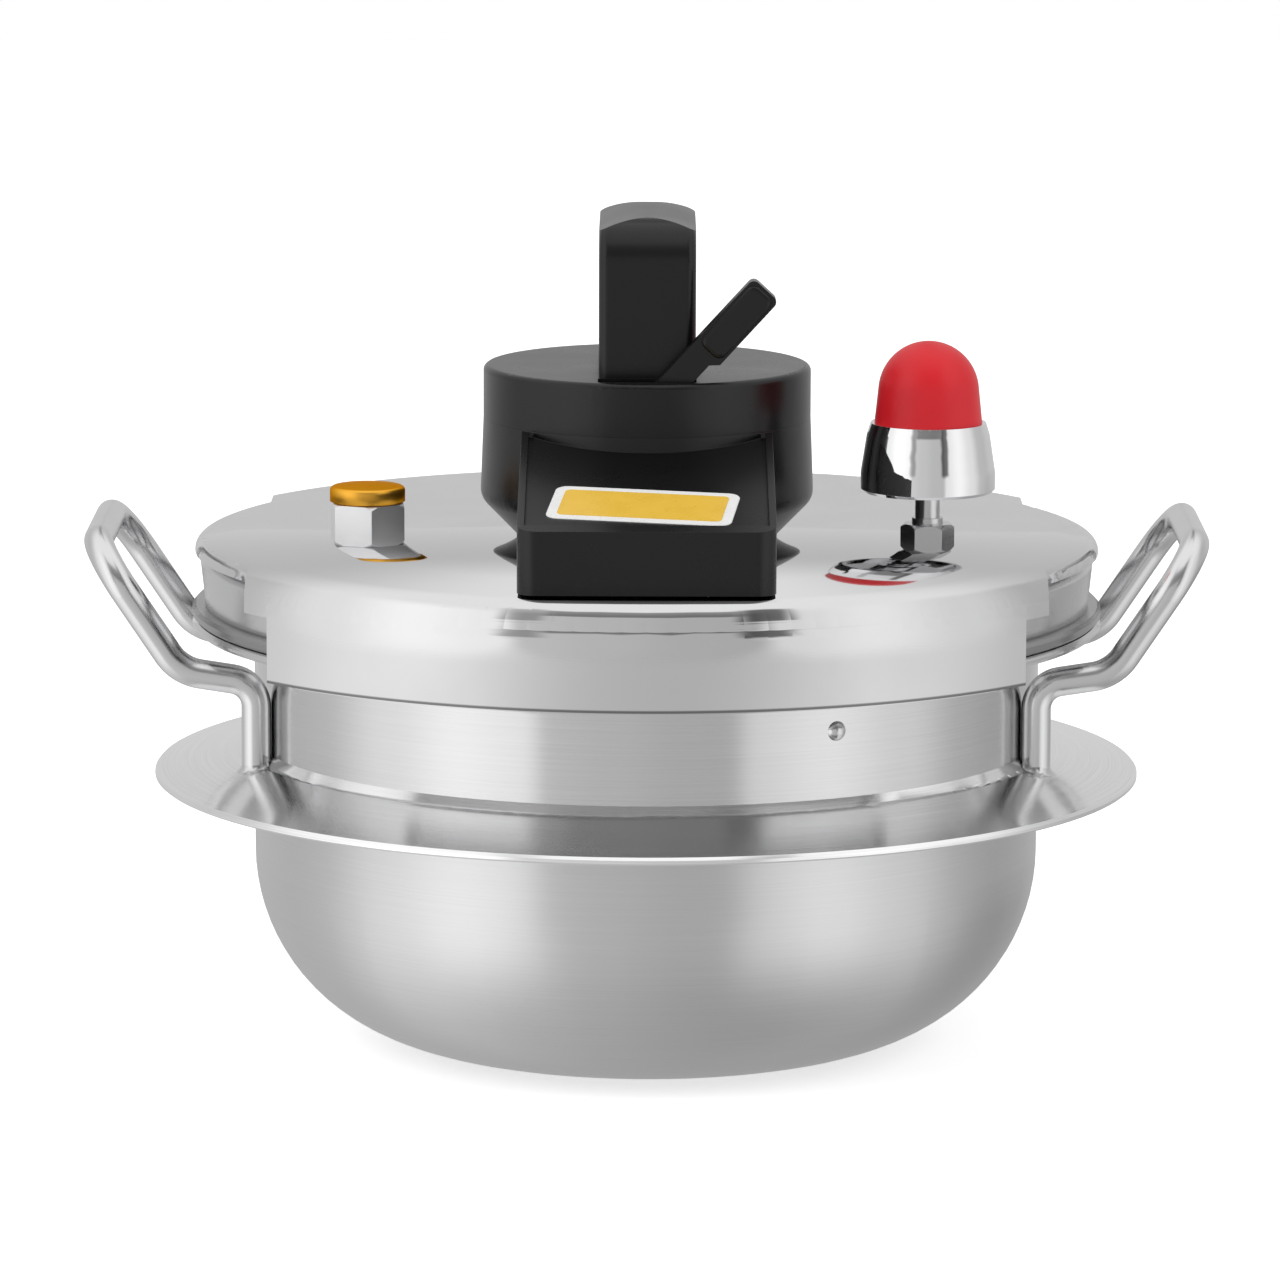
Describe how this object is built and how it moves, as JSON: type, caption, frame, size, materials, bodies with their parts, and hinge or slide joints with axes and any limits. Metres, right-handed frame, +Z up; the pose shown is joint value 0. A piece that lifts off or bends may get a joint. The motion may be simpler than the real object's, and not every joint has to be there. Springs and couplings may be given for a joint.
{
  "type": "pressure cooker",
  "caption": "Stovetop pressure cooker: rounded steel pot with burner flange and rod handles, and a clamped lid with black housing, carrying grip, lock lever, steam weight and relief valve.",
  "frame": {"origin": "centre of the underside of the pot, where it stands", "axes": "+Z up, front toward -Y with the lock lever and both valves, +X toward the right-hand rod handle"},
  "size_m": [0.2892, 0.256, 0.2166],
  "materials": {
    "satin_steel": "satin stainless steel, brushed round the axis",
    "polished_steel": "mirror-polished stainless steel",
    "rod_steel": "polished steel rod",
    "inner_steel": "plain bright steel",
    "seal_rubber": "grey silicone",
    "black_bakelite": "satin black moulding",
    "weight_chrome": "polished",
    "red_plastic": "satin red",
    "gold_aluminium": "gold anodised"
  },
  "bodies": {
    "pot": {"pot_body": "satin_steel", "burner_flange": "satin_steel", "left_handle": "rod_steel", "right_handle": "rod_steel"},
    "lid": {"lid_shell": "satin_steel", "lid_cover": "polished_steel", "lid_gasket": "seal_rubber", "mounting_studs": "inner_steel", "stud_nuts": "inner_steel", "housing_base": "black_bakelite", "housing_cap": "black_bakelite", "carry_grip": "black_bakelite", "grip_screws": "inner_steel", "lever_pin": "inner_steel", "vent_pipe": "inner_steel", "vent_nut": "inner_steel", "vent_seal": "seal_rubber", "vent_guard": "inner_steel", "relief_body": "inner_steel", "relief_nut": "inner_steel", "relief_seal": "seal_rubber", "relief_cap": "gold_aluminium", "relief_spring": "inner_steel"},
    "front_jaw": {"front_jaw": "inner_steel", "front_jaw_pin": "inner_steel"},
    "rear_jaw": {"rear_jaw": "inner_steel", "rear_jaw_pin": "inner_steel"},
    "shuttle": {"shuttle_plate": "inner_steel"},
    "lever": {"lock_lever": "black_bakelite", "drive_pin": "inner_steel"},
    "weight": {"weight_shell": "weight_chrome", "weight_cap": "red_plastic", "weight_needle": "inner_steel"},
    "plunger": {"relief_plunger": "inner_steel"}
  },
  "joints": [
    {"name": "lid_lift", "type": "slide", "parent": "pot", "child": "lid", "axis": [0, 0, 1], "range_m": [0, 0.1]},
    {"name": "lever_swing", "type": "hinge", "parent": "lid", "child": "lever", "pos_m": [0, -0.034, 0.1688], "axis": [0, -1, 0], "range_deg": [0, 85]},
    {"name": "shuttle_slide", "type": "slide", "parent": "lid", "child": "shuttle", "axis": [1, 0, 0], "range_m": [0, 0.01622]},
    {"name": "front_jaw_slide", "type": "slide", "parent": "lid", "child": "front_jaw", "axis": [0, 1, 0], "range_m": [0, 0.0054]},
    {"name": "rear_jaw_slide", "type": "slide", "parent": "lid", "child": "rear_jaw", "axis": [0, -1, 0], "range_m": [0, 0.0054]},
    {"name": "weight_lift", "type": "slide", "parent": "lid", "child": "weight", "axis": [0, 0, 1], "range_m": [0, 0.025]},
    {"name": "relief_lift", "type": "slide", "parent": "lid", "child": "plunger", "axis": [0, 0, 1], "range_m": [0, 0.001], "stiffness_N_per_m": 500, "springref_m": -0.003, "deforming": ["relief_spring"]}
  ],
  "couplings": [
    {"joint": "lever_swing", "follows": "front_jaw_slide", "rad_per_m": 274.72},
    {"joint": "shuttle_slide", "follows": "front_jaw_slide", "ratio": 3.0026},
    {"joint": "rear_jaw_slide", "follows": "front_jaw_slide", "ratio": 1}
  ]
}
